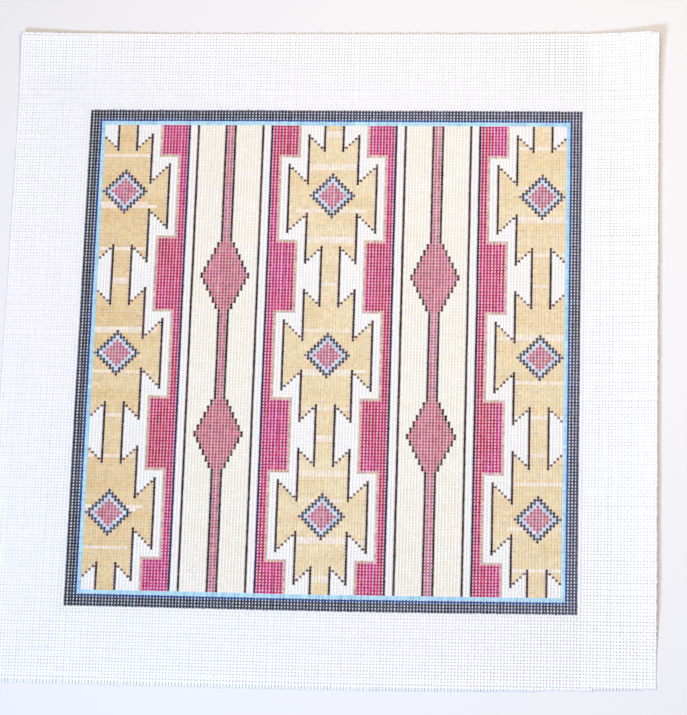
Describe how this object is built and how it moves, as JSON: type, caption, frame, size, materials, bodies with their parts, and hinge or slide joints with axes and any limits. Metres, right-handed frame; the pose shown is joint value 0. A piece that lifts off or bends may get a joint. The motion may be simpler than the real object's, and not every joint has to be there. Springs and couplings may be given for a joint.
{
  "type": "needlepoint canvas panel",
  "caption": "Flat square of open woven needlepoint canvas with a painted square field inside bare margins, its raw right edge and top corners curling up a little.",
  "frame": {"origin": "centre of the canvas on the surface that it lies on, at the bottom of its box", "axes": "+Z out of the painted side, +Y towards the top of the design, along the longer side, +X to the right of the design"},
  "size_m": [0.5258, 0.5374, 0.0123],
  "materials": {
    "canvas_cotton": "matt stiffened cotton threads, painted on the upper side of the field and bare white in the margins"
  },
  "bodies": {
    "root": {"canvas": "canvas_cotton"}
  },
  "joints": []
}
